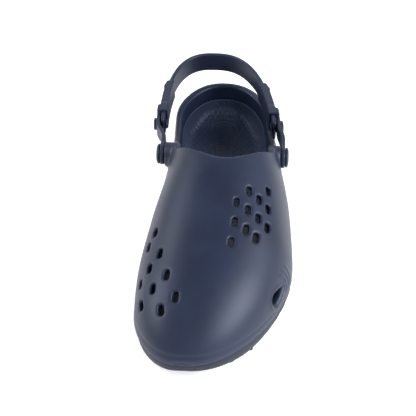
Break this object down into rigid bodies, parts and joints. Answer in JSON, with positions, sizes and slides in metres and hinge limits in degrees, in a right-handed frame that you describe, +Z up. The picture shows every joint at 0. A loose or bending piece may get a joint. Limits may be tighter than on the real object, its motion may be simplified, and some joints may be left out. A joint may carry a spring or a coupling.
{
  "type": "rubber garden clog",
  "caption": "Moulded foam garden clog for the left foot: vented closed toe, open collar, lugged outsole, removable insole and a riveted heel strap that swings.",
  "frame": {"origin": "on the ground plane under the middle of the sole, at the face of the tread lug there", "axes": "+Z up from the sole, -Y toward the toe, +Y toward the heel, -X toward the big-toe side, +X toward the little-toe side"},
  "size_m": [0.1095, 0.2866, 0.0951],
  "materials": {
    "upper_foam": "satin moulded foam, dark navy",
    "sole_foam": "matte moulded foam, darker navy",
    "liner_foam": "matte pebbled foam, dark navy",
    "strap_foam": "satin moulded foam, dark navy",
    "hard_rubber": "smooth satin, dark navy"
  },
  "bodies": {
    "shoe": {"upper_shell": "upper_foam", "outsole": "sole_foam", "insole": "liner_foam", "rivet_medial": "hard_rubber", "rivet_lateral": "hard_rubber", "rivet_cap_medial": "hard_rubber", "rivet_cap_lateral": "hard_rubber"},
    "strap": {"heel_band": "strap_foam", "strap_arm_medial": "strap_foam", "strap_arm_lateral": "strap_foam", "strap_stud_medial": "hard_rubber", "strap_stud_lateral": "hard_rubber"}
  },
  "joints": [
    {"name": "strap_swing", "type": "hinge", "parent": "shoe", "child": "strap", "pos_m": [0.004, 0.03096, 0.066], "axis": [1, 0, 0], "range_deg": [-1, 120]}
  ]
}
